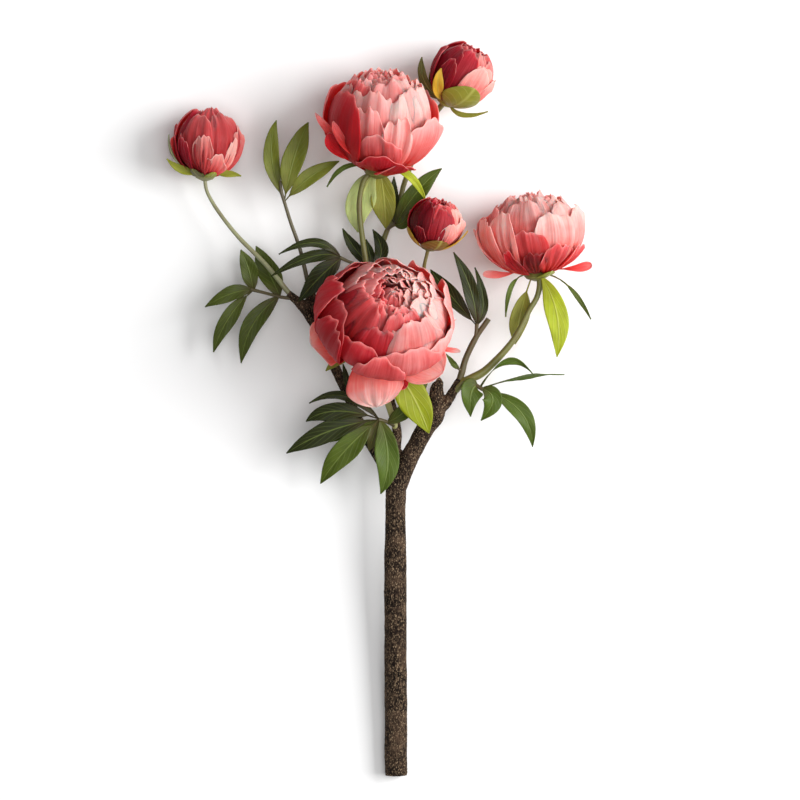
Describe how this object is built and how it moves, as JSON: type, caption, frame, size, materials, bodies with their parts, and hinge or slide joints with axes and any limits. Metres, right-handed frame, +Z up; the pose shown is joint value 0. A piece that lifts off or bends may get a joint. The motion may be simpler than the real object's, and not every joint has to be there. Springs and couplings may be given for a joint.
{
  "type": "peony branch",
  "caption": "Cut, flowering peony branch: a forked woody stem with stalks that carry double open blooms, round buds with sepals, and divided leaves with pointed leaflets.",
  "frame": {"origin": "middle of the footprint of the branch as it lies on its back, at the surface it lies on", "axes": "+Z up from the surface, +Y along the branch from the cut end of the trunk to the top bloom and bud, +X across it towards the right bloom"},
  "size_m": [0.427, 0.7392, 0.1611],
  "materials": {
    "bark": "dark, dull bark with ridges and tan speckles",
    "green_stalk": "smooth, olive green, faintly glossy",
    "sepal": "smooth, yellow-green with darker veins",
    "petal": "soft, satin, deep red at the root to pale pink at the edge",
    "bud_petal": "soft, satin, crimson",
    "leaf": "waxy, dark green, paler behind"
  },
  "bodies": {
    "root": {"woody_stem": "bark", "cut_twig": "green_stalk", "right_bloom_stalk": "green_stalk", "front_bloom_stalk": "green_stalk", "top_bloom_stalk": "green_stalk", "top_bud_stalk": "green_stalk", "centre_bud_stalk": "green_stalk", "left_bud_stalk": "green_stalk", "front_bloom_sepals": "sepal", "top_bloom_sepals": "sepal", "right_bloom_sepals": "sepal", "left_bud_sepals": "sepal", "centre_bud_sepals": "sepal", "top_bud_sepals": "sepal", "front_bloom": "petal", "top_bloom": "petal", "right_bloom": "petal", "left_bud": "bud_petal", "centre_bud": "bud_petal", "top_bud": "bud_petal", "upper_left_leaf": "leaf", "left_leaf": "leaf", "inner_left_leaf": "leaf", "lower_left_leaf": "leaf", "middle_leaf": "leaf", "upper_right_leaf": "leaf", "right_upper_leaf": "leaf", "right_lower_leaf": "leaf", "small_left_leaf": "leaf", "small_right_leaf": "leaf"}
  },
  "joints": []
}
